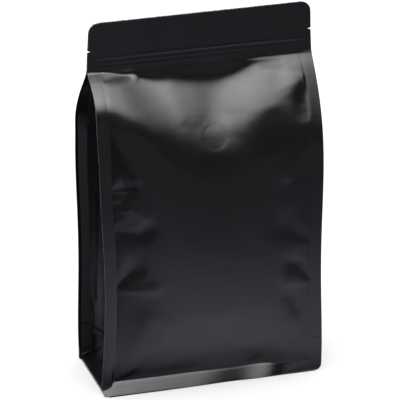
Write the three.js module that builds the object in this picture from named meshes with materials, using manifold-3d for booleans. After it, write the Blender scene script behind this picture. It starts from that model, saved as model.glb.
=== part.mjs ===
// A filled flat-bottom pouch of matte black laminate with a one-way valve under its front film.
// Millimetres, +Z up, front towards -Y, standing on z = 0 with the middle of its base box at the origin.
//
// The pouch is lofted from horizontal sections. Each body section runs round four seal fins, the
// front and back film, and two side gussets that fold inwards; each header section is a flat strip.

import * as THREE from 'three';
import * as BufferGeometryUtils from 'three/addons/utils/BufferGeometryUtils.js';
import Module from 'manifold-3d';

const wasm = await Module();
wasm.setup();

// ---- driving dimensions ----

const WIDTH = 191; // across the seal fins at the base
const HEIGHT = 315.4; // floor to the middle of the top edge
const HEADER_HEIGHT = 43.2; // flat strip above the shoulders
const SEAL = 10; // width of the heat-sealed fins and of the bottom seal bands
const FIN_THICK = 0.8; // front film and gusset film sealed together
const HEADER_THICK = 1.8; // front film, zipper flanges and back film sealed together

const FRONT_BASE_Y = -39.2; // plane of the front fins at the base
const FRONT_SHOULDER_Y = -36.7; // the same plane just under the shoulders
const FRONT_BOW = 3.6; // how far the contents push the front fins out of that plane
const BACK_BASE_Y = 38.5;
const BACK_SHOULDER_Y = 38.9;
const BACK_BOW = 5.2;
const WAIST = 2.4; // how far the fins are drawn in at each side by the full belly
const SHOULDER_FLARE = 1; // how far the fins stand out again at the shoulders
const HEADER_TOP_NARROW = 1.8; // each header end leans in by this much up to the top edge
const BAND_TUCK = 3.5; // how far the film is drawn in along the top of a bottom band
const FRONT_FLARE_LEFT = 1.6; // how far the front bottom band turns out at the floor
const FRONT_FLARE_RIGHT = -1.2;
const BACK_FLARE = 3.5;

const SHOULDER_Z = 215; // where the fins start to turn in
const HEADER_Y = 0.5; // plane of the header at its lower edge
const HEADER_LEAN = -2; // further towards the front at the top edge
const HEADER_TIP = 1.3; // the right end stands this much higher, the left end lower

const BELLY_FRONT = 8.5; // film between the fins, pushed out by the contents
const BELLY_BACK = 6.5;
const GUSSET_HALF = 44; // film from a fin's inner line to the gusset's middle crease
const GUSSET_PILLOW = 3; // each gusset half balloons out by this much
const GUSSET_SEAM_Z = 40; // side seam of the bottom piece, half the base depth up
const BASE_OUT = 5; // the side's lower edge stands this far outside the fins' inner lines
const PLY = 0.65; // film kept between a gusset and the front or back film it lies against
const SLIT_HALF = 0.12; // half the gap left in a closed gusset

const TOP_CORNER_R = 8.5;
const BOTTOM_CORNER_R = 6;
const NOTCH_BELOW_TOP = 24.3;
const NOTCH_DEPTH = 2.6;
const NOTCH_MOUTH = 1.6;
const NOTCH_ROOT = 0.6;

const ZIP_BELOW_TOP = 29; // upper edge of the press-to-close zipper
const ZIP_RIDGE = 0.7; // how far its ribs press through the film
const ZIP_PITCH = 4.6; // between its ribs

const VALVE_R = 10.9;
const VALVE_X = 4.2;
const VALVE_Z = 216.5;
const VALVE_THICK = 2.4;
const VALVE_PROUD = 1.3; // stands this far out of the film
const VALVE_EDGE_R = 0.9;
const VALVE_FLAT_R = 13; // the stiff valve keeps the film flat this far round its middle
const VALVE_EASE_R = 26; // and the film is free again from here
const CLEARANCE = 0.3;

const FRONT_COLUMNS = 21; // points across the film between the inner seal lines
const BACK_COLUMNS = 11;
const GUSSET_COLUMNS = 11; // odd, so that one is the middle crease

const HEADER_Z = HEIGHT - HEADER_HEIGHT;
const HALF_WIDTH = WIDTH / 2;

// Shoulder of the front film: where the upright film bends and where its slope meets the header.
const FRONT_KNEE_LEFT = 250;
const FRONT_KNEE_RIGHT = 226;
const FRONT_KNEE_DIP = 25; // the bend lies this much lower in the middle
const FRONT_ROLL = 15; // in the middle the film leaves the header this much lower
const BACK_KNEE_LEFT = 222;
const BACK_KNEE_RIGHT = 226;
const BACK_KNEE_DIP = 10;
const BACK_ROLL = 9;
const KNEE_ROUND = 7; // softness of the bend
const ROLL_ROUND = 5; // softness where the slope meets the header

// Dents that the film pulls into beside the fins: side, height, reach inwards, half height, depth.
const DENTS = [
  { side: -1, z: 163, reach: 30, half: 9, depth: 2.0 },
  { side: -1, z: 137, reach: 36, half: 9, depth: 2.4 },
  { side: -1, z: 98, reach: 32, half: 10, depth: 2.2 },
  { side: 1, z: 122, reach: 36, half: 12, depth: 2.4 },
  { side: 1, z: 90, reach: 30, half: 9, depth: 2.0 },
  { side: 1, z: 205, reach: 30, half: 12, depth: 1.6 },
];
const VALLEY_X = -8; // shallow fold that runs from the header down past the valve
const VALLEY_HALF = 13;
const VALLEY_DEPTH = 2.6;
const VALLEY_Z = 238;

// ---- small curves ----

const lerp = (a, b, t) => a + (b - a) * t;
const clamp = (value, low, high) => Math.min(high, Math.max(low, value));
const clamp01 = (t) => clamp(t, 0, 1);
const smoothstep = (a, b, x) => {
  const t = clamp01((x - a) / (b - a));
  return t * t * (3 - 2 * t);
};
const bump = (x, half) => Math.exp(-((x / half) ** 2));
const roundMax = (a, b, round) => (a + b + Math.hypot(a - b, round)) / 2;
const roundMin = (a, b, round) => (a + b - Math.hypot(a - b, round)) / 2;
const arch = (z) => Math.sin(Math.PI * clamp01(z / SHOULDER_Z) ** 0.8);

// ---- outline seen from the front ----

function halfWidth(z) {
  if (z >= HEADER_Z) {
    return HALF_WIDTH - HEADER_TOP_NARROW * ((z - HEADER_Z) / HEADER_HEIGHT);
  }
  const waist = WAIST * Math.sin(Math.PI * clamp01(z / 200)) ** 2;
  const flare = SHOULDER_FLARE * Math.sin(Math.PI * clamp01((z - 200) / (HEADER_Z - 200))) ** 2;
  return HALF_WIDTH - waist + flare;
}

// The four film corners are cut round, and each header end has a tear notch.
function tipX(z) {
  const half = halfWidth(z);
  const intoTop = z - (HEIGHT - TOP_CORNER_R);
  const intoBottom = BOTTOM_CORNER_R - z;
  if (intoTop > 0) {
    return half - TOP_CORNER_R + Math.sqrt(Math.max(0, TOP_CORNER_R ** 2 - intoTop ** 2));
  }
  if (intoBottom > 0) {
    return half - BOTTOM_CORNER_R + Math.sqrt(Math.max(0, BOTTOM_CORNER_R ** 2 - intoBottom ** 2));
  }
  const fromNotch = Math.abs(z - (HEIGHT - NOTCH_BELOW_TOP));
  const open = clamp01((NOTCH_MOUTH / 2 - fromNotch) / (NOTCH_MOUTH / 2 - NOTCH_ROOT / 2));
  return half - NOTCH_DEPTH * open;
}

const tipLift = (x, z) => HEADER_TIP * (x / HALF_WIDTH) * smoothstep(200, HEADER_Z, z);

// ---- header ----

const headerPlane = (z) => HEADER_Y + HEADER_LEAN * clamp01((z - HEADER_Z) / HEADER_HEIGHT);

// Three ribs of the zipper, flattened in the side seals.
function zipRelief(x, z) {
  const below = HEIGHT - ZIP_BELOW_TOP - z;
  const ribs = [0.5, 1.5, 2.5].map((n) => bump(below - n * ZIP_PITCH, 1.3));
  const inSeal = 1 - 0.6 * smoothstep(HALF_WIDTH - SEAL - 3, HALF_WIDTH - SEAL, Math.abs(x));
  return ZIP_RIDGE * inSeal * Math.max(...ribs);
}

// ---- front and back film ----

// Upright film and shoulder slope, joined by soft bends; face is -1 for the front and +1 for the back.
function softFilmY(x, z, panel) {
  const u = Math.min(1, Math.abs(x) / (halfWidth(z) - SEAL));
  const middle = 1 - u * u;
  const across = clamp01(x / WIDTH + 0.5);
  const knee = lerp(panel.kneeLeft, panel.kneeRight, across) - panel.kneeDip * middle;
  const slopeTop = HEADER_Z - panel.roll * middle;
  const upright = (h) => {
    const lean = lerp(panel.baseY, panel.shoulderY, clamp01(h / SHOULDER_Z));
    const belly = panel.belly * (1 - u ** 2.4) * smoothstep(SEAL, 70, h);
    const flare = lerp(panel.flareLeft, panel.flareRight, across) * clamp01(1 - h / SEAL);
    const tuck = BAND_TUCK * (1 - u ** 8) * (h < SEAL ? h / SEAL : bump(h - SEAL, 9));
    return panel.face * lean + panel.bow * arch(h) + belly + flare - tuck;
  };
  const head = panel.face * headerPlane(z) + HEADER_THICK / 2;
  const slope = head + (slopeTop - z) * ((upright(knee) - head) / (slopeTop - knee));
  const film = roundMin(upright(z), slope, KNEE_ROUND);
  return panel.face * (roundMax(film, head, ROLL_ROUND * middle + 0.8) - panel.dents(x, z));
}

function frontDents(x, z) {
  const inner = halfWidth(z) - SEAL;
  const pulled = DENTS.map(({ side, z: height, reach, half, depth }) => {
    const inwards = inner - side * x;
    const along = smoothstep(0, 0.25 * reach, inwards) * (1 - smoothstep(0.35 * reach, reach, inwards));
    return depth * along * bump(z - height, half);
  });
  const valley = VALLEY_DEPTH * bump(x - VALLEY_X, VALLEY_HALF) * bump(z - VALLEY_Z, 18);
  return pulled.reduce((sum, d) => sum + d, 0) + valley;
}

const FRONT = {
  face: -1,
  baseY: FRONT_BASE_Y,
  shoulderY: FRONT_SHOULDER_Y,
  bow: FRONT_BOW,
  belly: BELLY_FRONT,
  flareLeft: FRONT_FLARE_LEFT,
  flareRight: FRONT_FLARE_RIGHT,
  kneeLeft: FRONT_KNEE_LEFT,
  kneeRight: FRONT_KNEE_RIGHT,
  kneeDip: FRONT_KNEE_DIP,
  roll: FRONT_ROLL,
  dents: frontDents,
};

const BACK = {
  face: 1,
  baseY: BACK_BASE_Y,
  shoulderY: BACK_SHOULDER_Y,
  bow: BACK_BOW,
  belly: BELLY_BACK,
  flareLeft: BACK_FLARE,
  flareRight: BACK_FLARE,
  kneeLeft: BACK_KNEE_LEFT,
  kneeRight: BACK_KNEE_RIGHT,
  kneeDip: BACK_KNEE_DIP,
  roll: BACK_ROLL,
  dents: () => 0,
};

// The plane that the valve lies in, and the film with that flat place in it.
const VALVE_STEP = 8;
const VALVE_Y = softFilmY(VALVE_X, VALVE_Z, FRONT);
const VALVE_SLOPE_X =
  (softFilmY(VALVE_X + VALVE_STEP, VALVE_Z, FRONT) - softFilmY(VALVE_X - VALVE_STEP, VALVE_Z, FRONT)) /
  (2 * VALVE_STEP);
const VALVE_SLOPE_Z =
  (softFilmY(VALVE_X, VALVE_Z + VALVE_STEP, FRONT) - softFilmY(VALVE_X, VALVE_Z - VALVE_STEP, FRONT)) /
  (2 * VALVE_STEP);

function filmY(x, z, panel) {
  const soft = softFilmY(x, z, panel);
  if (panel !== FRONT) {
    return soft;
  }
  const fromValve = Math.hypot(x - VALVE_X, z - VALVE_Z);
  const plane = VALVE_Y + VALVE_SLOPE_X * (x - VALVE_X) + VALVE_SLOPE_Z * (z - VALVE_Z);
  return lerp(plane, soft, smoothstep(VALVE_FLAT_R, VALVE_EASE_R, fromValve));
}

// ---- side gussets ----

// How far a gusset is folded in; v runs from 0 at the middle crease to 1 at a fin's inner line.
// Above the seam it is a V. Below it, the bottom piece's triangle runs from the seam's middle out to
// the side's straight lower edge, between two diagonal folds.
function gussetDepth(v, z, halfDepth) {
  const crease = Math.sqrt(Math.max(0, GUSSET_HALF ** 2 - halfDepth ** 2));
  const up = clamp01(z / GUSSET_SEAM_Z);
  const triangle = lerp(-BASE_OUT, crease, up);
  const beyondFold = v > 1 - up ? (v - (1 - up)) / up : 0;
  return triangle * (1 - beyondFold);
}

// From a front fin's inner line to the back fin's, kept between the front and the back film.
function gussetPoints(side, z, frontY, backY) {
  const inner = halfWidth(z) - SEAL;
  const halfDepth = (backY - frontY) / 2;
  const pillow = GUSSET_PILLOW * clamp01(halfDepth / 25) * smoothstep(0, GUSSET_SEAM_Z, z);
  return Array.from({ length: GUSSET_COLUMNS + 2 }, (_, i) => {
    const q = i / (GUSSET_COLUMNS + 1);
    const balloon = pillow * Math.sin(Math.PI * ((2 * q) % 1));
    const x = side * (inner - gussetDepth(Math.abs(2 * q - 1), z, halfDepth) + balloon);
    const foremost = filmY(x, z, FRONT) + PLY;
    const rearmost = filmY(x, z, BACK) - PLY;
    const middle = clamp((frontY + backY) / 2, foremost + SLIT_HALF, rearmost - SLIT_HALF);
    const gap = SLIT_HALF * Math.sign(q - 0.5);
    const low = q > 0.5 ? middle + gap : foremost;
    const high = q < 0.5 ? middle + gap : rearmost;
    return [x, q === 0.5 ? middle : clamp(lerp(frontY, backY, q), low, high)];
  });
}

// ---- sections ----

// Places across a panel from -1 to 1, closer together towards its ends.
function columnFractions(count) {
  const spread = 1.25;
  const even = Array.from({ length: count + 2 }, (_, i) => (i / (count + 1)) * 2 - 1);
  return even.map((t) => Math.sin(t * spread) / Math.sin(spread));
}

function panelPoints(panel, columns, z, inHeader) {
  const tip = tipX(z);
  const inner = halfWidth(z) - SEAL;
  const xs = [-tip, ...columnFractions(columns).map((f) => f * inner), tip];
  return xs.map((x) => {
    if (!inHeader) {
      return [x, filmY(x, z, panel)];
    }
    return [x, headerPlane(z) + panel.face * (HEADER_THICK / 2 + zipRelief(x, z))];
  });
}

function section(z, inHeader) {
  const lift = ([x, y]) => [x, y, z + tipLift(x, z)];
  const front = panelPoints(FRONT, FRONT_COLUMNS, z, inHeader);
  const back = panelPoints(BACK, BACK_COLUMNS, z, inHeader).reverse();
  if (inHeader) {
    return { front: front.map(lift), back: back.map(lift), right: [], left: [] };
  }
  const side = (sign, frontTip, backTip) => {
    const frontY = frontTip[1] + FIN_THICK;
    const backY = backTip[1] - FIN_THICK;
    const chain = gussetPoints(sign, z, frontY, backY);
    return [[frontTip[0], frontY], ...chain, [backTip[0], backY]];
  };
  const right = side(1, front.at(-1), back[0]);
  const left = side(-1, front[0], back.at(-1)).reverse();
  return { front: front.map(lift), back: back.map(lift), right: right.map(lift), left: left.map(lift) };
}

function range(from, to, steps) {
  return Array.from({ length: steps }, (_, i) => lerp(from, to, i / steps));
}

function bodyHeights() {
  const corner = range(0, Math.PI / 2, 4).map((a) => BOTTOM_CORNER_R * (1 - Math.cos(a)));
  return [
    ...corner,
    ...range(BOTTOM_CORNER_R, SEAL + 4, 4),
    ...range(SEAL + 4, GUSSET_SEAM_Z - 3, 3),
    ...range(GUSSET_SEAM_Z - 3, GUSSET_SEAM_Z + 3, 2),
    ...range(GUSSET_SEAM_Z + 3, 196, 16),
    ...range(196, HEADER_Z - 4, 17),
    ...range(HEADER_Z - 4, HEADER_Z - 0.6, 2),
    HEADER_Z - 0.6,
  ];
}

function headerHeights() {
  const notch = HEIGHT - NOTCH_BELOW_TOP;
  const zipTop = HEIGHT - ZIP_BELOW_TOP;
  const corner = range(0, Math.PI / 2, 5).map((a) => HEIGHT - TOP_CORNER_R * (1 - Math.sin(a)));
  return [
    HEADER_Z,
    ...range(HEADER_Z + 0.7, zipTop, 10),
    zipTop,
    notch - NOTCH_MOUTH / 2,
    notch - NOTCH_ROOT / 2,
    notch + NOTCH_ROOT / 2,
    notch + NOTCH_MOUTH / 2,
    ...corner,
    HEIGHT,
  ];
}

// ---- the pouch as one closed solid ----

function pouchGeometry() {
  const positions = [];
  const triangles = [];
  const store = (points) => points.map((p) => positions.push(p) - 1);
  const storeSection = (s) => ({
    front: store(s.front),
    right: store(s.right),
    back: store(s.back),
    left: store(s.left),
  });
  const ringOf = (s) => [...s.front, ...s.right, ...s.back, ...s.left];

  const strip = (lower, upper, closed) => {
    const count = closed ? lower.length : lower.length - 1;
    for (let i = 0; i < count; i += 1) {
      const j = (i + 1) % lower.length;
      triangles.push([lower[i], lower[j], upper[j]], [lower[i], upper[j], upper[i]]);
    }
  };

  // Roof of a gusset's slit: its chain of points closes onto the header's end.
  const roof = (chain, headerFirst, headerLast) => {
    const middle = (chain.length - 1) / 2;
    chain.slice(0, -1).forEach((point, i) => {
      triangles.push([point, chain[i + 1], i < middle ? headerFirst : headerLast]);
    });
    triangles.push([chain[middle], headerLast, headerFirst]);
  };

  const cap = (ring, up) => {
    const outline = ring.map((i) => new THREE.Vector2(positions[i][0], positions[i][1]));
    THREE.ShapeUtils.triangulateShape(outline, []).forEach(([a, b, c]) => {
      triangles.push(up ? [ring[a], ring[b], ring[c]] : [ring[a], ring[c], ring[b]]);
    });
  };

  const body = bodyHeights().map((z) => storeSection(section(z, false)));
  const header = headerHeights().map((z) => storeSection(section(z, true)));
  body.slice(1).forEach((upper, i) => strip(ringOf(body[i]), ringOf(upper), true));
  header.slice(1).forEach((upper, i) => strip(ringOf(header[i]), ringOf(upper), true));

  const below = body.at(-1);
  const above = header[0];
  strip(below.front, above.front, false);
  strip(below.back, above.back, false);
  roof([below.front.at(-1), ...below.right, below.back[0]], above.front.at(-1), above.back[0]);
  roof([below.back.at(-1), ...below.left, below.front[0]], above.back.at(-1), above.front[0]);
  cap(ringOf(body[0]), false);
  cap(ringOf(header.at(-1)), true);

  const geometry = new THREE.BufferGeometry();
  geometry.setAttribute('position', new THREE.Float32BufferAttribute(positions.flat(), 3));
  geometry.setIndex(triangles.flat());
  return geometry;
}

// ---- the valve and its seat ----

// A round button whose face rounds over to its side; grow widens it all round for the seat.
function valveGeometry(grow) {
  const r = VALVE_R + grow;
  const top = VALVE_PROUD + grow;
  const profile = [new THREE.Vector2(0, VALVE_PROUD - VALVE_THICK - grow)];
  profile.push(new THREE.Vector2(r, VALVE_PROUD - VALVE_THICK - grow));
  for (let i = 0; i <= 4; i += 1) {
    const a = (i / 4) * (Math.PI / 2);
    const edgeX = r - VALVE_EDGE_R * (1 - Math.cos(a));
    const edgeY = top - VALVE_EDGE_R * (1 - Math.sin(a));
    profile.push(new THREE.Vector2(edgeX, edgeY));
  }
  profile.push(new THREE.Vector2(0, top));
  return new THREE.LatheGeometry(profile, 48);
}

// Lays a button in the valve's plane, facing out of the film.
function seatOnFilm(geometry) {
  const normal = new THREE.Vector3(VALVE_SLOPE_X, -1, VALVE_SLOPE_Z).normalize();
  geometry.applyQuaternion(new THREE.Quaternion().setFromUnitVectors(new THREE.Vector3(0, 1, 0), normal));
  geometry.translate(VALVE_X, VALVE_Y, VALVE_Z);
  return geometry;
}

function toManifold(geometry) {
  const plain = geometry.clone();
  plain.deleteAttribute('normal');
  plain.deleteAttribute('uv');
  const merged = BufferGeometryUtils.mergeVertices(plain, 1e-4);
  return new wasm.Manifold(
    new wasm.Mesh({
      numProp: 3,
      vertProperties: new Float32Array(merged.attributes.position.array),
      triVerts: new Uint32Array(merged.index.array),
    }),
  );
}

function fromManifold(solid) {
  const mesh = solid.getMesh();
  const geometry = new THREE.BufferGeometry();
  geometry.setAttribute('position', new THREE.BufferAttribute(new Float32Array(mesh.vertProperties), 3));
  geometry.setIndex(new THREE.BufferAttribute(new Uint32Array(mesh.triVerts), 1));
  geometry.computeVertexNormals();
  return geometry;
}

// ---- the object ----

const film = new THREE.MeshStandardMaterial({ color: 0x161617, roughness: 0.42, metalness: 0 });
const valveFilm = new THREE.MeshStandardMaterial({ color: 0x18181a, roughness: 0.42, metalness: 0 });

const pouchSolid = toManifold(pouchGeometry());
const seat = toManifold(seatOnFilm(valveGeometry(CLEARANCE)));

const pouch = new THREE.Mesh(fromManifold(pouchSolid.subtract(seat)), film);
pouch.name = 'pouch';

const valve = new THREE.Mesh(seatOnFilm(valveGeometry(0)), valveFilm);
valve.name = 'valve';

const object = new THREE.Group();
object.name = 'flat_bottom_pouch_with_valve';
object.add(pouch, valve);

export default object;
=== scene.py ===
"""A filled flat-bottom pouch of matte black laminate film, with a one-way valve under its front film.

The pouch is one web of film, laid round four seal fins, a front and a back panel and two gussets that
fold inwards, then closed by a flat header. The film is shaped in millimetres and made in metres.
"""

import math

import bpy
import numpy as np
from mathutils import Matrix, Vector


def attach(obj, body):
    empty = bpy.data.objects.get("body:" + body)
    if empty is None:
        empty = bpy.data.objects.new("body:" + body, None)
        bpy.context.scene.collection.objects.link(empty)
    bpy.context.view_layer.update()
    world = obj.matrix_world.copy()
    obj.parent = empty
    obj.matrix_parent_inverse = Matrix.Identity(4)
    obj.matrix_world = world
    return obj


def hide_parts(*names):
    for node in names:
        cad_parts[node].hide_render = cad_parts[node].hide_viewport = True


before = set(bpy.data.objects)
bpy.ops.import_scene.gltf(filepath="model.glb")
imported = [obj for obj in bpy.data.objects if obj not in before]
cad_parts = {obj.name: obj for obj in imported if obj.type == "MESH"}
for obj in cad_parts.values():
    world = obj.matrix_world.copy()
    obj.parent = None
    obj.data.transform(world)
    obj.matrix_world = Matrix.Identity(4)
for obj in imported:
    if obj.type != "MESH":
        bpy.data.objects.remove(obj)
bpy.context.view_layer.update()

MM = 0.001

# ---- sizes in millimetres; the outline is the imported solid's ----

HALF_WIDTH = 95.5  # middle of the pouch to the edge of a seal fin
HEIGHT = 315.4
SEAL = 10.0  # width of the fins and of the bottom seal bands
FIN_THICK = 0.8
WAIST_TOP = 200.0  # the fins are drawn in below this height and stand out above it
WAIST = 2.4  # how far they are drawn in beside the belly
SHOULDER_FLARE = 1.0  # how far they stand out at the shoulders
SHOULDER_Z = 215.0  # height up to which the panels stand nearly upright
FRONT_CORNER = 6.0  # radius of the front fins' lower corners
BACK_CORNER = 2.5

HEADER_Z = 275.2  # lower edge of the flat header, its foot
HEADER_HALF = 0.9  # half the thickness of the header
HEADER_NARROW = 1.8  # how much the header narrows at each side, up to its top
TOP_CORNER = 8.5  # radius of the header's corners
TIP_LIFT = 1.3  # how far the header's right end stands up and its left end hangs down
FOOT_DROP = 2.0  # how far the foot's right end hangs below that
NOTCH_Z = 291.1
NOTCH_DEEP = 2.6
NOTCH_HALF = 0.8  # half the height of a tear notch
ZIPPER_Z = 286.4  # upper edge of the zipper
RIB_HALF = 1.3  # half the width of a rib of the zipper

BOTTOM_SEAM_Z = 33.0  # upper edge of the bottom piece, where its seal ends
GUSSET_SEAM_Z = 40.0  # top of the triangle that the bottom piece makes in a gusset
GUSSET_HALF = 44.0  # film from a fin to the gusset's middle crease
GUSSET_CLEAR = 0.65  # room between a panel's outside and the gusset behind it
GUSSET_BALLOON = 3.0  # how far a gusset bulges on each side of its crease
BASE_OUT = 8.0  # how far the triangle's foot stands out at the floor

VALVE_AT = (4.2, 216.5)  # x and z
VALVE_FLATTENS = 0.35  # part of the film's curve that the stiff valve takes out
DISH_DEEP = 0.35
CAP_RADIUS = 13.2
CAP_THICK = 1.6

# ---- how finely the film is laid ----

FRONT_STEPS = 132
BACK_STEPS = 64
GUSSET_STEPS = 60
FIN_STEPS = 5

# Height ranges in millimetres and the number of rows in each, closest at the seams and the shoulder.
ROWS = [
    (0.0, 6.0, 6),
    (6.0, 14.0, 14),
    (14.0, 31.0, 12),
    (31.0, 35.0, 9),
    (35.0, 42.0, 6),
    (42.0, 196.0, 112),
    (196.0, 264.0, 50),
    (264.0, 274.8, 18),
    (275.2, 287.0, 22),
    (287.0, 290.2, 2),
    (290.2, 290.8, 1),
    (290.8, 291.4, 1),
    (291.4, 292.0, 1),
    (292.0, 306.9, 8),
    (306.9, 312.9, 5),
    (312.9, 315.0, 5),
]

# Strokes pressed into or lifted out of a panel's film. Each runs from a point to a point, and its
# half width is given at both. The last number is its height, below zero for a dent.
#    x0,   z0,  w0,   x1,   z1,  w1, height
FRONT_STROKES = [
    # wrinkles that start at the left seal
    (-85, 231, 1.7, -68, 193, 8.3, 1.2),
    (-70, 200, 3.9, -60, 180, 8.2, 0.27),
    (-86, 182, 1.6, -76, 183, 4.8, -1.8),
    (-85, 176, 1.4, -60, 158, 6.0, 1.2),
    (-85, 171, 1.0, -78, 170, 3.0, -0.9),
    (-85, 165, 1.3, -74, 166, 4.1, 0.45),
    (-85, 150, 1.5, -58, 159, 6.0, -0.63),
    (-86, 147, 1.8, -62, 144, 6.3, -2.0),
    (-85, 99, 0.8, -70, 112, 5.6, -1.8),
    (-84, 95, 1.6, -54, 94, 4.6, 0.9),
    (-84, 70, 1.9, -60, 66, 8.0, 0.16),
    # wrinkles that start at the right seal
    (87, 208, 2.6, 63, 180, 6.2, 1.05),
    (85, 172, 1.0, 76, 175, 4.3, -0.63),
    (86, 119, 1.4, 61, 135, 8.4, -1.32),
    (84, 104, 1.0, 63, 113, 6.6, 0.39),
    (85, 85, 1.0, 71, 102, 5.7, -1.29),
    (84, 82, 1.4, 65, 86, 4.8, 1.04),
    (84, 65, 2.0, 59, 60, 8.3, -0.28),
    # folds that rise from the lower corners and the bottom band
    (-83, 9, 2.2, -50, 48, 10.5, 2.5),
    (-80, 20, 2.9, -57, 69, 7.0, 0.71),
    (-40, 22, 3.1, -10, 30, 7.8, 0.41),
    (71, 19, 3.2, 30, 31, 7.0, 1.10),
    (85, 30, 1.6, 68, 73, 6.3, -1.28),
    (86, 9, 2.0, 65, 45, 8.2, 1.63),
    # fold below the header's left end
    (-80, 263, 1.0, -56, 264, 1.8, 0.6),
    (-82, 268.5, 1.5, -60, 269, 3.2, -1.5),
    # shoulder: the hollow beside the left seal, and the ridges and dents left of the valve
    (-78, 259, 3.0, -79, 242, 6.1, -0.46),
    (-64, 247, 5.2, -40, 250, 6.2, -0.23),
    (-27, 255, 7.0, -21, 233, 4.7, 0.87),
    (-26, 254, 5.0, -11, 232, 7.2, 0.63),
    # shoulder: the valley above the valve
    (3, 266, 6.9, 1, 231, 11.2, -1.47),
    (19, 265, 6.8, 15, 234, 10.6, -1.2),
    # shoulder: the ridges right of the valve, and the hollow beside the right seal
    (35, 244, 3.2, 39, 231, 8.2, 0.38),
    (47, 260, 5.5, 54, 239, 9.9, 1.05),
    (53, 262, 1.7, 87, 258, 2.0, -0.38),
    (72, 265, 2.6, 76, 252, 10.9, 1.4),
    (82, 239, 5.0, 81, 226, 6.6, -0.96),
    (83, 246, 2.1, 80, 230, 6.1, -0.77),
    (85, 259, 0.8, 78, 237, 6.9, -0.57),
]

BACK_STROKES = [
    (-84, 150, 2.5, -58, 157, 8.0, -1.5),
    (-84, 143, 2.0, -56, 138, 7.0, 0.5),
    (84, 98, 2.5, 60, 106, 7.5, -1.4),
    (84, 91, 2.0, 56, 86, 7.0, 0.5),
    (84, 186, 2.5, 64, 191, 7.0, -1.2),
    (-84, 196, 2.5, -66, 190, 6.5, -0.9),
    (-85, 11, 2.0, -58, 46, 8.0, 1.4),
    (86, 11, 2.0, 62, 52, 9.0, 1.6),
    (84, 40, 2.0, 64, 80, 8.0, -1.1),
    (10, 258, 8.0, 16, 220, 12.0, -2.0),
    (-48, 256, 6.0, -40, 228, 9.0, -0.8),
]

# Upright pleats in a gusset, in the same way. The first number of a place is its depth, from the
# front at about -40 to the back at about 40.
GUSSET_STROKES = [
    (35.0, 26, 1.8, 36.0, 215, 2.0, 2.4),
    (28.5, 60, 1.4, 27.0, 228, 2.0, 2.2),
    (-30.0, 30, 1.5, -22.0, 215, 6.0, 0.9),
    (12.0, 60, 3.0, 6.0, 170, 6.0, -1.0),
]

# Ribs of the zipper: how far below its upper edge, height at the left end and at the right end.
ZIPPER_RIBS = [(1.84, 0.25, 0.6), (5.98, 0.4, 0.4), (9.66, 0.25, 0.1)]

# Each panel's own measures:
#   face      the way that it looks along y
#   corner    radius of its fins' lower corners
#   base      its place in y at the floor, and shoulder at SHOULDER_Z
#   bow       how far it bulges up its whole height, and belly how far across its middle
#   splay     how far its fins turn out, for each millimetre of their width
# and tables across it, from its left end to its right end as seen from the front:
#   flare     how far the foot of the bottom seal band stands out
#   bend      the height of the bend at the shoulder
#   roll      how far below the header the film leaves it
#   tuck      how far the film is drawn in along the top of the bottom seal band
#   rounding  how round the bend is
FRONT = dict(
    face=-1, corner=FRONT_CORNER, base=-39.2, shoulder=-36.7, bow=3.6, belly=8.5, splay=0.0,
    strokes=FRONT_STROKES,
    flare=[
        (-95, 1.0), (-16, 0.7), (0, 0.4), (19, 0.0), (40, 0.9), (53, 0.3), (62, -0.4), (75, -0.4),
        (95, -1.4),
    ],
    bend=[
        (-95, 257), (-85, 257.5), (-65, 246.2), (-45, 230.1), (-29, 219.5), (-16, 214.7), (-6, 216.1),
        (5, 213), (15, 219.4), (26, 225.5), (38, 230.3), (52, 230.8), (66, 228.5), (78, 226.4),
        (86, 219.4), (95, 207.8),
    ],
    roll=[
        (-95, 0), (-86, 0), (-78, 0.8), (-68, 3.2), (-56, 7.6), (-48, 9.8), (-40, 11.5), (-20, 11.5),
        (0, 10.5), (15, 11.4), (30, 9.3), (45, 1.4), (57, 0), (95, 0),
    ],
    tuck=[
        (-95, 8.0), (-51, 7.2), (-16, 7.4), (-7, 7.0), (1, 6.5), (10, 6.0), (19, 5.6), (27, 6.2),
        (40, 8.2), (48, 7.6), (56, 4.6), (66, 2.4), (85, 1.6),
    ],
    rounding=[
        (-95, 22), (-70, 23), (-45, 22.3), (-20, 25.5), (0, 30.5), (20, 36.8), (45, 33.5),
        (70, 22.1), (95, 5),
    ],
)
BACK = dict(
    face=1, corner=BACK_CORNER, base=38.5, shoulder=38.9, bow=5.2, belly=6.5, splay=0.3,
    strokes=BACK_STROKES,
    flare=[(-95, 0.5), (-80, 1.0), (-60, 3.0), (60, 3.0), (80, 1.0), (95, 0.5)],
    bend=[(-95, 222), (-60, 219), (-25, 215), (10, 214), (45, 217), (75, 223), (95, 226)],
    roll=[(-95, 0), (-60, 5), (0, 9), (60, 5), (95, 0)],
    tuck=[(-95, 3), (-50, 5), (0, 3.5), (50, 4.5), (95, 3)],
    rounding=[(-95, 7), (-60, 17), (0, 28), (60, 17), (95, 7)],
)


# ---- small curves ----


def clamp01(t):
    return np.clip(t, 0.0, 1.0)


def lerp(a, b, t):
    return a + (b - a) * t


def ease(a, b, x):
    """0 below a, 1 above b, and smooth between them."""
    t = clamp01((x - a) / (b - a))
    return t * t * (3 - 2 * t)


def bump(x, half):
    """1 at 0, falling off on both sides; half is its half width."""
    return np.exp(-((x / half) ** 2))


def curve(x, points):
    """A curve through a table of places and values, smoothed over 14 mm to each side."""
    places, values = zip(*points)
    shifts = np.linspace(-14, 14, 15)
    weights = 1 + np.cos(shifts * math.pi / 15)
    moved = [weight * np.interp(x + shift, places, values) for weight, shift in zip(weights, shifts)]
    return sum(moved) / sum(weights)


def soft_max(a, b, round_by):
    """The greater of two, with the corner between them rounded."""
    return (a + b + np.hypot(a - b, round_by)) / 2


def soft_min(a, b, round_by):
    """The lesser of two, with the corner between them rounded."""
    return (a + b - np.hypot(a - b, round_by)) / 2


# ---- outline seen from the front ----


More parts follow.
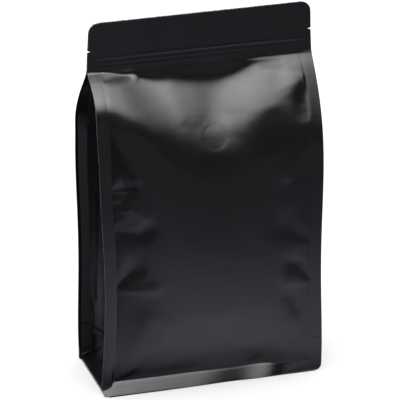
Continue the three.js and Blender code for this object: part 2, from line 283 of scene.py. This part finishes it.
def half_width(z):
    """Half the pouch's width: a waist beside the full belly, a flare at the shoulders."""
    waist = WAIST * np.sin(math.pi * clamp01(z / WAIST_TOP)) ** 2
    flare = SHOULDER_FLARE * np.sin(math.pi * clamp01((z - WAIST_TOP) / (HEADER_Z - WAIST_TOP))) ** 2
    header = HEADER_NARROW * clamp01((z - HEADER_Z) / (HEIGHT - HEADER_Z))
    return HALF_WIDTH - waist + flare - header


def tip_x(z, corner=FRONT_CORNER):
    """The film's cut edge: half the width, less the round corners and the tear notch."""
    into_top = clamp01((z - (HEIGHT - TOP_CORNER)) / TOP_CORNER)
    into_bottom = clamp01((corner - z) / corner)
    top = TOP_CORNER * (1 - np.sqrt(1 - into_top**2))
    bottom = corner * (1 - np.sqrt(1 - into_bottom**2))
    notch = NOTCH_DEEP * clamp01((NOTCH_HALF - np.abs(z - NOTCH_Z)) / 0.5)
    return half_width(z) - top - bottom - notch


def tip_lift(x, z):
    """The header's right end stands a little higher than its left end, but its foot is nearly level."""
    foot = FOOT_DROP * ease(20, HALF_WIDTH, x) * bump(z - HEADER_Z, 10)
    return TIP_LIFT * (x / HALF_WIDTH) * ease(WAIST_TOP, HEADER_Z, z) - foot


# ---- film ----


def header_plane(z):
    """The header's middle in y: 0.3 along the zipper, 0.5 further forwards at the foot, and leaning
    1.8 forwards from the zipper to the top edge."""
    above_zipper = clamp01((z - ZIPPER_Z) / (HEIGHT - ZIPPER_Z))
    return 0.3 - 0.5 * ease(281, HEADER_Z, z) - 1.8 * above_zipper


def zipper_ribs(x, z):
    """The zipper's ribs, which press through the film and are flattened in the side seals."""
    along = clamp01(x / 190 + 0.5)
    ribs = [
        lerp(at_left, at_right, along) * bump(ZIPPER_Z - z - below, RIB_HALF)
        for below, at_left, at_right in ZIPPER_RIBS
    ]
    in_seal = 1 - 0.5 * ease(HALF_WIDTH - SEAL - 3, HALF_WIDTH - SEAL, np.abs(x))
    return in_seal * np.maximum.reduce(ribs)


def seal_lines(x, z):
    """Where the sealing bars ended: a groove along each fin and along the bottom band, and a short
    groove across each fin at the upper edge of the bottom piece, which lies between the films."""
    inwards = half_width(z) - SEAL - np.abs(x)
    along_fin = bump(inwards, 0.8)
    along_band = bump(z - SEAL, 0.8) * ease(0, 3, inwards)
    across_fin = bump(z - BOTTOM_SEAM_Z, 0.7) * ease(1, 3, -inwards)
    return -0.1 * along_fin - 0.15 * along_band - 0.3 * across_fin


def header_lip(x, z):
    """The sharp crease under the header's two ends, where the film is pulled out flat. It is fainter
    at the right end."""
    ends = ease(46, 80, -x) + 0.3 * ease(46, 80, x)
    return 0.35 * bump(z - HEADER_Z + 1.4, 0.7) * ends


def strokes_on(x, z, strokes):
    """The sum of all strokes. A stroke is lower where it is narrower, so it starts in a point, and it
    is steep on its lower side and easy on its upper side, as film under load buckles."""
    total = np.zeros_like(x + z)
    for x0, z0, w0, x1, z1, w1, height in strokes:
        dx, dz = x1 - x0, z1 - z0
        along = clamp01(((x - x0) * dx + (z - z0) * dz) / (dx * dx + dz * dz))
        apart_x, apart_z = x - x0 - along * dx, z - z0 - along * dz
        apart = np.hypot(apart_x, apart_z) + 1e-6
        width = lerp(w0, w1, along) * lerp(0.8, 1.9, 0.5 + 0.5 * apart_z / apart)
        total += height * lerp(w0, w1, along) / max(w0, w1) * bump(apart, width)
    return total


def soft_film(x, z, panel):
    """A panel's film: upright over the contents, bent over at the shoulder, up to the header."""
    inwards = half_width(z) - SEAL - np.abs(x)
    below_header = HEADER_Z - z
    u = np.minimum(1, np.abs(x) / (half_width(z) - SEAL))  # 0 in the middle, 1 at a seal
    middle = 1 - u * u
    knee = curve(x, panel["bend"])
    roll = curve(x, panel["roll"])
    slope_top = HEADER_Z - roll
    in_corner = 1 - 0.45 * ease(-2, 7, -inwards)
    band = SEAL * in_corner  # the band's upper edge runs down to the fins' lower corners
    drawn_in = curve(x, panel["tuck"]) * in_corner

    def upright(h):
        """The film as if it stood upright at the height h: its lean, its bulges and its foot."""
        plane = panel["face"] * lerp(panel["base"], panel["shoulder"], clamp01(h / SHOULDER_Z))
        bow = panel["bow"] * np.sin(math.pi * clamp01(h / SHOULDER_Z) ** 0.8)
        belly = panel["belly"] * (1 - u**2.4) * ease(SEAL, 70, h)
        flare = curve(x, panel["flare"]) * clamp01(1 - h / band)
        above_band = 1 / (1 + (np.maximum(h - band, 0) / 14) ** 2)
        tuck = drawn_in * np.where(h < band, h / band, above_band)
        return plane + bow + belly + flare - tuck

    head = panel["face"] * header_plane(z) + HEADER_HALF
    slope = head + (slope_top - z) * ((upright(knee) - head) / (slope_top - knee))
    film = soft_min(upright(z), slope, curve(x, panel["rounding"]))

    # The film leaves the header in a crease where it has no roll, and in the header's plane elsewhere.
    round_by = 0.8 + 5.0 * middle * ease(0, 6, below_header)
    rolled = 1 - ease(7, 0, below_header) * ease(1, 5, roll)
    proud = (soft_max(film, head, round_by) - head) * rolled

    # Wrinkles end at the seals, above the bottom band and below the header.
    inside = ease(-0.5, 2, inwards) * ease(SEAL, SEAL + 5, z) * ease(0, 7, below_header)
    strokes = strokes_on(x, z, panel["strokes"]) * inside
    lines = seal_lines(x, z) * ease(1, 4, below_header) + header_lip(x, z)
    splay = panel["splay"] * np.maximum(0, -inwards) * ease(0, 30, below_header)
    return panel["face"] * (head + proud + strokes + lines + splay)


def film_y(x, z, panel):
    """The panel's film. In the front the stiff valve flattens it and keeps a shallow dish in it."""
    soft = soft_film(x, z, panel)
    if panel is BACK:
        return soft
    step = 8.0  # the slope at the valve is that of the film this far to each side
    at_x, at_z = (np.array([[v]]) for v in VALVE_AT)
    middle = soft_film(at_x, at_z, panel)
    slope_x = (soft_film(at_x + step, at_z, panel) - soft_film(at_x - step, at_z, panel)) / (2 * step)
    slope_z = (soft_film(at_x, at_z + step, panel) - soft_film(at_x, at_z - step, panel)) / (2 * step)
    plane = middle + slope_x * (x - at_x) + slope_z * (z - at_z)
    apart = np.hypot(x - at_x, z - at_z)
    flattened = lerp(lerp(soft, plane, VALVE_FLATTENS), soft, ease(8, 26, apart))
    return flattened + DISH_DEEP * (1 - ease(6.5, 12.5, apart))


def panel_film(panel, x, z):
    """Front or back film at the stations x, with the flat header above HEADER_Z."""
    header = header_plane(z) + panel["face"] * (HEADER_HALF + zipper_ribs(x, z))
    return np.where(z < HEADER_Z, film_y(x, z, panel), header)


def gusset_fold(v, z, half_depth):
    """How far in a gusset lies: v runs from 0 at its middle crease to 1 at a fin. It is a V above
    the seam; below it the bottom piece's triangle comes out to the floor between two folds."""
    crease = np.sqrt(np.maximum(0, GUSSET_HALF**2 - half_depth**2))
    up = np.maximum(clamp01(z / GUSSET_SEAM_Z), 1e-6)
    triangle = lerp(-BASE_OUT, crease, up)
    beyond = np.where(v > 1 - up, (v - (1 - up)) / up, 0)
    return triangle * (1 - beyond)


def gusset_film(side, q, z, front_y, back_y):
    """A gusset from the front fin (q = 0) to the back fin (q = 1), kept between the two panels."""
    half_depth = (back_y - front_y) / 2
    filled = clamp01(half_depth / 25) * ease(0, GUSSET_SEAM_Z, z)
    to_fin = np.minimum(q, 1 - q)
    pleats = strokes_on(lerp(front_y, back_y, q), z, GUSSET_STROKES) * ease(0, 0.04, to_fin)
    seam = 0.5 * bump(z - BOTTOM_SEAM_Z, 0.8)
    balloon = filled * (GUSSET_BALLOON * np.sin(math.pi * ((2 * q) % 1)) + pleats) - seam
    inner = half_width(z) - SEAL
    x = side * (inner - gusset_fold(np.abs(2 * q - 1), z, half_depth) + balloon)

    # The gusset's points stay between the two panels, its two halves stay apart by at least twice the
    # gap, and in the corners its columns stay apart too.
    clear = GUSSET_CLEAR + np.minimum(0.1, 2 * to_fin)
    gap = 0.12
    foremost = film_y(x, z, FRONT) + clear
    rearmost = film_y(x, z, BACK) - clear
    middle = np.clip((front_y + back_y) / 2, foremost + gap, rearmost - gap)
    halfway = middle + gap * np.sign(q - 0.5)
    low = np.where(q > 0.5, halfway, foremost)
    high = np.where(q < 0.5, halfway, rearmost)
    return x, np.clip(lerp(front_y, back_y, q), low, high)


# ---- the web of film, laid round the pouch ----


def film_rows():
    """The heights of the film's rows, as a column."""
    rows = [np.linspace(low, high, steps, endpoint=False) for low, high, steps in ROWS]
    return np.append(np.concatenate(rows), HEIGHT)[:, None]


def panel_stations(steps):
    """Places across a panel, closest beside the seals: -2 and 2 are the fins' tips, -1 and 1 their
    inner lines."""
    fin = 1 + np.linspace(0, 1, FIN_STEPS + 1) ** 1.5
    between = np.sin(np.linspace(-1.25, 1.25, steps + 1)) / math.sin(1.25)
    return np.concatenate([-fin[:0:-1], between, fin[1:]])


def panel_points(panel, steps, z):
    """The points of a panel, its fins' outer sides included."""
    s = panel_stations(steps)[None, :]
    inner = half_width(z) - SEAL
    on_fin = np.sign(s) * lerp(inner, tip_x(z, panel["corner"]), np.abs(s) - 1)
    x = np.where(np.abs(s) > 1, on_fin, s * inner)
    return x, panel_film(panel, x, z)


def side_points(side, z):
    """From the front fin's tip to the back fin's: a fin's rear, the gusset, the other fin's rear.
    A rear is laid flat, at its tip's place in y. So it crosses the outer side of a fin that turns out,
    as the back fins do, and of the left front fin where that is drawn in above the bottom band."""
    tip, back_tip = tip_x(z), tip_x(z, BACK_CORNER)
    edge = side * tip
    front_y = film_y(edge, z, FRONT) + FIN_THICK
    back_y = film_y(edge, z, BACK) - FIN_THICK
    inner = half_width(z) - SEAL
    q = np.linspace(0, 1, GUSSET_STEPS + 1)[None, :]
    fin = np.linspace(0, 1, FIN_STEPS + 1)[None, :-1]
    gusset_x, gusset_y = gusset_film(side, q, z, front_y, back_y)
    fin_x = side * lerp(tip, inner, fin)
    back_fin_x = side * lerp(back_tip, inner, fin)
    x = np.hstack([fin_x, gusset_x, back_fin_x[:, ::-1]])
    y = np.hstack([fin_x * 0 + front_y, gusset_y, fin_x * 0 + back_y])
    in_header = z >= HEADER_Z
    ends = np.sign(np.arange(x.shape[1]) - (x.shape[1] - 1) / 2)[None, :]
    x = np.where(in_header, edge, x)
    y = np.where(in_header, header_plane(z) + ends * (HEADER_HALF + zipper_ribs(edge, z)), y)
    return x, y


def deselect_all():
    if bpy.context.object and bpy.context.object.mode == "EDIT":
        bpy.ops.object.mode_set(mode="OBJECT")
    bpy.ops.object.select_all(action="DESELECT")


def lay_film():
    """The whole pouch: a flat grid of film whose points are laid round it, welded along its ends
    and closed at the top edge and at the floor."""
    z = film_rows()
    front = panel_points(FRONT, FRONT_STEPS, z)
    right = side_points(1, z)
    back = [a[:, ::-1] for a in panel_points(BACK, BACK_STEPS, z)]
    left = [a[:, ::-1] for a in side_points(-1, z)]
    x, y = (np.hstack(parts + (parts[0][:, :1],)) for parts in zip(front, right, back, left))
    places = np.stack([x, y, z + tip_lift(x, z)], axis=-1) * MM

    deselect_all()
    rows, columns = x.shape
    bpy.ops.mesh.primitive_grid_add(x_subdivisions=columns - 1, y_subdivisions=rows - 1, size=1)
    pouch = bpy.context.object
    pouch.name = "pouch_film"
    co = np.zeros(len(pouch.data.vertices) * 3)
    pouch.data.vertices.foreach_get("co", co)
    co = co.reshape(-1, 3)
    column = np.rint((co[:, 0] + 0.5) * (columns - 1)).astype(int)
    row = np.rint((co[:, 1] + 0.5) * (rows - 1)).astype(int)
    pouch.data.vertices.foreach_set("co", places[row, column].ravel())

    bpy.ops.object.mode_set(mode="EDIT")
    bpy.ops.mesh.select_all(action="SELECT")
    bpy.ops.mesh.remove_doubles(threshold=1e-6)
    bpy.ops.mesh.select_all(action="DESELECT")
    bpy.ops.mesh.select_mode(type="EDGE")
    bpy.ops.mesh.select_non_manifold(use_wire=False, use_multi_face=False, use_non_contiguous=False)
    bpy.ops.mesh.edge_face_add()
    bpy.ops.mesh.select_all(action="SELECT")
    bpy.ops.mesh.normals_make_consistent(inside=False)
    bpy.ops.object.mode_set(mode="OBJECT")
    bpy.ops.object.shade_smooth_by_angle(angle=math.radians(40))
    return pouch


def show_cut_edges(pouch, edge_material):
    """The laminate's pale core shows on the cut edges: the faces at the fins' tips and the header's
    sides that look sideways, and those at the header's top that look up."""
    faces = pouch.data.polygons
    centre, normal = np.zeros(len(faces) * 3), np.zeros(len(faces) * 3)
    faces.foreach_get("center", centre)
    faces.foreach_get("normal", normal)
    x, _, z = centre.reshape(-1, 3).T / MM
    aside, _, upwards = np.abs(normal.reshape(-1, 3).T)
    at_tip = np.abs(x) > tip_x(z - tip_lift(x, z)) - 0.3
    at_top = z > HEIGHT - 2
    cut = (aside > 0.6) & at_tip | (upwards > 0.8) & at_top
    pouch.data.materials.append(edge_material)
    faces.foreach_set("material_index", cut.astype(np.int32))


def valve_cap():
    """The round film over the valve, laid in the shallow dish that the valve's weld draws in the
    front film. Its rim runs in under the film, so no edge shows."""
    deselect_all()
    bpy.ops.mesh.primitive_circle_add(vertices=96, radius=CAP_RADIUS * MM, fill_type="NGON")
    cap = bpy.context.object
    cap.name = "valve_cap"
    bpy.ops.object.mode_set(mode="EDIT")
    bpy.ops.mesh.select_mode(type="FACE")
    bpy.ops.mesh.select_all(action="SELECT")
    bpy.ops.mesh.extrude_region_move(TRANSFORM_OT_translate={"value": (0, 0, CAP_THICK * MM)})
    for _ in range(12):
        bpy.ops.mesh.inset(thickness=1.0 * MM)
    bpy.ops.mesh.poke()
    bpy.ops.object.mode_set(mode="OBJECT")

    co = np.zeros(len(cap.data.vertices) * 3)
    cap.data.vertices.foreach_get("co", co)
    across, up, thick = co.reshape(-1, 3).T / MM
    x, z = VALVE_AT[0] + across, VALVE_AT[1] + up
    # The cap stands 0.08 proud of the dish, its rim lies 0.25 under the film, its back 1.4 under it.
    # The film leans back there, so what rises from it goes up by half as much as it comes forwards.
    rise = lerp(0.08, -0.25, ease(7.0, CAP_RADIUS, np.hypot(across, up)))
    rise = np.where(thick < 0.1, -1.4, rise)
    y = film_y(x[:, None], z[:, None], FRONT)[:, 0] - rise
    cap.data.vertices.foreach_set("co", (np.stack([x, y, z + rise * 0.5], axis=-1) * MM).ravel())
    cap.data.update()
    bpy.ops.object.mode_set(mode="EDIT")
    bpy.ops.mesh.select_all(action="SELECT")
    bpy.ops.mesh.normals_make_consistent(inside=False)
    bpy.ops.object.mode_set(mode="OBJECT")
    bpy.ops.object.shade_smooth_by_angle(angle=math.radians(50))
    return cap


# ---- materials ----


def linear(hex_colour):
    """An sRGB hex colour as linear RGBA."""
    channels = [int(hex_colour[i : i + 2], 16) / 255 for i in (1, 3, 5)]
    return [c / 12.92 if c <= 0.04045 else ((c + 0.055) / 1.055) ** 2.4 for c in channels] + [1.0]


def add_node(tree, kind, settings=None, links=None):
    """Adds a node, sets its properties and sockets, and links its inputs. A socket goes by its name,
    or by its number where several have the same name."""
    node = tree.nodes.new(kind)
    for name, value in (settings or {}).items():
        if isinstance(name, int) or name in node.inputs:
            node.inputs[name].default_value = value
        else:
            setattr(node, name, value)
    for name, source in (links or {}).items():
        tree.links.new(source, node.inputs[name])
    return node


def span(low, high, at_low, at_high):
    """Map Range settings that take low..high to at_low..at_high."""
    return {"From Min": low, "From Max": high, "To Min": at_low, "To Max": at_high}


def new_material(name):
    material = bpy.data.materials.new(name)
    material.use_nodes = True
    material.node_tree.nodes.clear()
    return material, material.node_tree


def matte_laminate():
    """Matte-lacquered PET laminate: near black, with broad soft reflections. The lacquer lies in faint
    streaks along the web, which runs across the pouch, and is a little cloudy from handling."""
    material, tree = new_material("matte_lacquered_laminate")
    place = add_node(tree, "ShaderNodeTexCoord").outputs["Object"]
    along_web = add_node(tree, "ShaderNodeMapping", {"Scale": (0.04, 1.0, 1.0)}, {"Vector": place})

    # Each scale is the number of features in a metre: waves in the film about 17 mm long, and the
    # lacquer's grain, which is much finer, drawn at about 1 mm so that it shows.
    waves = add_node(tree, "ShaderNodeTexNoise", {"Scale": 60.0, "Detail": 2.0}, {"Vector": place})
    grain = add_node(tree, "ShaderNodeTexNoise", {"Scale": 1000.0, "Detail": 3.0}, {"Vector": place})
    # Streaks about 2 mm high and, with the web's scale of 0.04, about 55 mm long.
    streaks = add_node(
        tree, "ShaderNodeTexNoise", {"Scale": 450.0, "Detail": 3.0}, {"Vector": along_web.outputs["Vector"]}
    )
    # Cloudy places about 30 mm across.
    cloud = add_node(tree, "ShaderNodeTexNoise", {"Scale": 35.0, "Detail": 4.0}, {"Vector": place})

    soft = add_node(
        tree, "ShaderNodeBump", {"Strength": 0.3, "Distance": 0.0006}, {"Height": waves.outputs["Fac"]}
    )
    streaked = add_node(
        tree, "ShaderNodeBump", {"Strength": 0.4, "Distance": 0.0001},
        {"Height": streaks.outputs["Fac"], "Normal": soft.outputs["Normal"]},
    )
    fine = add_node(
        tree, "ShaderNodeBump", {"Strength": 0.5, "Distance": 0.0001},
        {"Height": grain.outputs["Fac"], "Normal": streaked.outputs["Normal"]},
    )
    tone = add_node(tree, "ShaderNodeValToRGB", None, {"Fac": cloud.outputs["Fac"]})
    tone.color_ramp.elements[0].position = 0.3
    tone.color_ramp.elements[0].color = linear("#040405")
    tone.color_ramp.elements[1].position = 0.7
    tone.color_ramp.elements[1].color = linear("#070708")
    gloss = add_node(
        tree, "ShaderNodeMapRange", span(0.3, 0.7, 0.225, 0.255), {"Value": cloud.outputs["Fac"]}
    )
    shader = add_node(
        tree, "ShaderNodeBsdfPrincipled", {"IOR": 1.5},
        {
            "Base Color": tone.outputs["Color"],
            "Roughness": gloss.outputs["Result"],
            "Normal": fine.outputs["Normal"],
        },
    )
    add_node(tree, "ShaderNodeOutputMaterial", None, {"Surface": shader.outputs["BSDF"]})
    return material


def cut_laminate():
    """The cut through the laminate's layers: pale foil and film between black, dull and fine-grained.
    It gives the pouch's edges a thin pale line."""
    material, tree = new_material("cut_laminate_core")
    place = add_node(tree, "ShaderNodeTexCoord").outputs["Object"]
    # The layers are much thinner than a millimetre; their mottling is drawn at 2.5 mm so that it shows.
    layers = add_node(tree, "ShaderNodeTexNoise", {"Scale": 400.0, "Detail": 3.0}, {"Vector": place})
    tone = add_node(tree, "ShaderNodeValToRGB", None, {"Fac": layers.outputs["Fac"]})
    tone.color_ramp.elements[0].position = 0.35
    tone.color_ramp.elements[0].color = linear("#2a2b2e")
    tone.color_ramp.elements[1].position = 0.65
    tone.color_ramp.elements[1].color = linear("#6c6f75")
    shader = add_node(
        tree, "ShaderNodeBsdfPrincipled", {"Roughness": 0.6, "IOR": 1.5},
        {"Base Color": tone.outputs["Color"]},
    )
    add_node(tree, "ShaderNodeOutputMaterial", None, {"Surface": shader.outputs["BSDF"]})
    return material


# ---- stage, in metres ----

WHITE = linear("#ffffff")
DAYLIGHT = linear("#ecf0ff")  # the pale blue of daylight on the paper, the glow of the painted reflection cards
CLOTH_LIGHT = linear("#fbfcff")  # the overhead's light, a little cool
FLOOR_GREY = linear("#898989")

CAMERA_TARGET = Vector((0, 0.0057, 0.150))
CAMERA_SIDE = Vector((-0.26740, -0.89071, 0.36764))  # from the target to the camera
CAMERA_AWAY = 2.4981


def photo_camera():
    """A long lens in front of the pouch, a little to its left and looking down."""
    bpy.ops.object.camera_add(location=CAMERA_TARGET + CAMERA_SIDE * CAMERA_AWAY)
    camera = bpy.context.object
    camera.rotation_euler = (-CAMERA_SIDE).to_track_quat("-Z", "Y").to_euler()
    camera.data.sensor_width = 36
    camera.data.lens = 270
    camera.data.shift_x = 0.0052
    camera.data.shift_y = -0.0033
    bpy.context.scene.camera = camera


def softbox(name, place, target, size, power):
    """A rectangular light that looks from its place at the target."""
    bpy.ops.object.light_add(type="AREA", location=place)
    light = bpy.context.object
    light.name = name
    light.rotation_euler = (Vector(target) - Vector(place)).to_track_quat("-Z", "Y").to_euler()
    light.data.shape = "RECTANGLE"
    light.data.size, light.data.size_y = size
    light.data.energy = power
    light.visible_camera = False


def painted_reflection_card(name, low, high):
    """A flat card just above the floor, between two corners, with a material of its own. Only the
    film's gloss sees it, so the light that its material gives is a painted reflection, standing in for the
    floor or a photographer's card beside the view."""
    centre = [(a + b) / 2 for a, b in zip(low, high)]
    bpy.ops.mesh.primitive_plane_add(size=1, location=(*centre, 0.001))
    thing = bpy.context.object
    thing.name = name
    thing.scale = (high[0] - low[0], high[1] - low[1], 1)
    bpy.ops.object.transform_apply(location=True, rotation=True, scale=True)
    material, tree = new_material(name)
    thing.data.materials.append(material)
    thing.visible_camera = False
    thing.visible_diffuse = False
    thing.visible_shadow = False
    return tree


def round_glow(tree, centre, reach):
    """1 at the centre, falling evenly to 0 at the reach, which may differ in x and y."""
    place = add_node(tree, "ShaderNodeTexCoord").outputs["Object"]
    fitted = add_node(
        tree, "ShaderNodeMapping",
        {
            "Location": (-centre[0] / reach[0], -centre[1] / reach[1], 0),
            "Scale": (1 / reach[0], 1 / reach[1], 0),
        },
        {"Vector": place},
    )
    glow = add_node(
        tree, "ShaderNodeTexGradient", {"gradient_type": "SPHERICAL"}, {"Vector": fitted.outputs["Vector"]}
    )
    return glow.outputs["Fac"]


def glow_in(tree, centre, reach, levels):
    """A round glow whose 0..1 is taken to other levels, as span gives them."""
    glow = round_glow(tree, centre, reach)
    return add_node(tree, "ShaderNodeMapRange", levels, {"Value": glow}).outputs["Result"]


def shaded(tree, light, axis, levels):
    """A light that fades along one axis of the stage, as span gives it."""
    place = add_node(tree, "ShaderNodeTexCoord").outputs["Object"]
    apart = add_node(tree, "ShaderNodeSeparateXYZ", None, {"Vector": place})
    fade = add_node(tree, "ShaderNodeMapRange", levels, {"Value": apart.outputs[axis]})
    both = {0: light, 1: fade.outputs["Result"]}
    return add_node(tree, "ShaderNodeMath", {"operation": "MULTIPLY"}, both).outputs["Value"]


def shine(tree, strength, colour):
    """Ends a material as plain light of one colour."""
    light = add_node(tree, "ShaderNodeEmission", {"Color": colour}, {"Strength": strength})
    add_node(tree, "ShaderNodeOutputMaterial", None, {"Surface": light.outputs["Emission"]})


def painted_front_reflection():
    """A painted reflection: the pool of light on the floor that the upright front reflects, painted in a
    card that only the gloss sees. It fades out to the room; to the shaded side at the left, a painted
    shadow; and towards the pouch's own foot, a painted contact shadow. At the left it has a painted
    glow, the reflection of a lit card."""
    tree = painted_reflection_card("painted_front_reflection", (-3, -3), (3, -0.0395))
    pool = glow_in(tree, (0.03, -0.13), (0.34, 0.42), span(0, 1, 0.242, 1.232))
    # painted contact shadow: the reflected pool darkens towards the pouch's own foot
    pool = shaded(tree, pool, "Y", span(-0.068, -0.042, 1.0, 0.42))
    # painted shadow: darker towards the left, where the pouch shades the floor
    pool = shaded(tree, pool, "X", span(-0.16, -0.07, 0.3, 1.0))
    # painted reflection of a lit card at the left
    painted_left_glow = glow_in(tree, (-0.26, -0.28), (0.19, 0.22), span(0, 1, 0, 0.66))
    lightest = add_node(tree, "ShaderNodeMath", {"operation": "MAXIMUM"}, {0: pool, 1: painted_left_glow})
    shine(tree, lightest.outputs["Value"], DAYLIGHT)


def painted_left_reflection():
    """A painted reflection: the floor beside the pouch as its gloss sees it, light near the pouch and dark
    further out, with a painted shadow of the pouch that leaves it dark beside the front of its foot.
    """
    tree = painted_reflection_card("painted_left_reflection", (-3, -0.0395), (-0.097, 3))
    pool = glow_in(tree, (-0.16, 0.05), (0.28, 0.28), span(0, 1, 0.055, 0.462))
    # painted shadow: dark beside the front of the pouch's foot, fading in further back
    shine(tree, shaded(tree, pool, "Y", span(0.02, 0.12, 0.0, 1.0)), DAYLIGHT)


def overhead():
    """A wide ceiling of cloth lit from behind at one place, so its light fades out all round."""
    bpy.ops.mesh.primitive_plane_add(size=5.4, location=(-0.15, -0.8, 1.55))
    ceiling = bpy.context.object
    ceiling.name = "overhead"
    bpy.ops.object.transform_apply(location=True)
    material, tree = new_material("overhead")
    glow = round_glow(tree, (-0.15, -0.5), (2.6, 2.6))
    soft = add_node(tree, "ShaderNodeMath", {"operation": "POWER", 1: 1.6}, {0: glow})
    bright = add_node(tree, "ShaderNodeMapRange", span(0, 1, 0, 10.7), {"Value": soft.outputs["Value"]})
    shine(tree, bright.outputs["Result"], CLOTH_LIGHT)
    ceiling.data.materials.append(material)
    ceiling.visible_camera = False
    ceiling.visible_shadow = False


def pale_floor():
    """Plain matte paper that also glows, a painted light: faintly round the pouch, so that the lamps'
    shadow there shows, and more strongly further out, so that it stays white where their light falls off.
    """
    bpy.ops.mesh.primitive_plane_add(size=8, location=(0, 0, -0.0002))
    floor = bpy.context.object
    floor.name = "floor"
    material, tree = new_material("pale_paper")
    # painted light: the paper's glow, weaker near the pouch and stronger far out
    shader = add_node(
        tree, "ShaderNodeBsdfPrincipled",
        {"Base Color": FLOOR_GREY, "Roughness": 1.0, "Specular IOR Level": 0.0, "Emission Color": WHITE},
        {"Emission Strength": glow_in(tree, (0, 0), (1.3, 1.3), span(0, 1, 0.95, 0.40))},
    )
    add_node(tree, "ShaderNodeOutputMaterial", None, {"Surface": shader.outputs["BSDF"]})
    floor.data.materials.append(material)


def room():
    """White where the camera looks past the floor. The film sees a room that is dim in front of the
    pouch and dark behind it."""
    world = bpy.data.worlds.new("studio")
    bpy.context.scene.world = world
    world.use_nodes = True
    tree = world.node_tree
    tree.nodes.clear()
    way = add_node(tree, "ShaderNodeTexCoord").outputs["Generated"]
    apart = add_node(tree, "ShaderNodeSeparateXYZ", None, {"Vector": way})
    dim = add_node(tree, "ShaderNodeMapRange", span(-0.2, 0.3, 0.08, 0.01), {"Value": apart.outputs["Y"]})
    walls = add_node(tree, "ShaderNodeBackground", {"Color": WHITE}, {"Strength": dim.outputs["Result"]})
    seen = add_node(tree, "ShaderNodeBackground", {"Color": WHITE, "Strength": 1.0})
    path = add_node(tree, "ShaderNodeLightPath")
    mix = add_node(
        tree, "ShaderNodeMixShader", None,
        {
            "Fac": path.outputs["Is Camera Ray"],
            1: walls.outputs["Background"],
            2: seen.outputs["Background"],
        },
    )
    add_node(tree, "ShaderNodeOutputWorld", None, {"Surface": mix.outputs["Shader"]})


def studio():
    """A pale floor, the lit ceiling, a softbox over the floor behind, the two painted reflection cards and
    the room.
    """
    pale_floor()
    overhead()
    softbox("back", (0, 1.7, 1.7), (0, 1.0, 0), (2.4, 1.0), 40)
    painted_front_reflection()
    painted_left_reflection()
    room()
    bpy.context.scene.view_settings.view_transform = "Standard"


# ---- the pouch on its stage ----

photo_camera()
studio()

pouch = lay_film()
pouch.data.materials.append(matte_laminate())
show_cut_edges(pouch, cut_laminate())
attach(pouch, "root")
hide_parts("pouch")

cap = valve_cap()
cap.data.materials.append(pouch.data.materials[0])
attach(cap, "root")
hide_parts("valve")
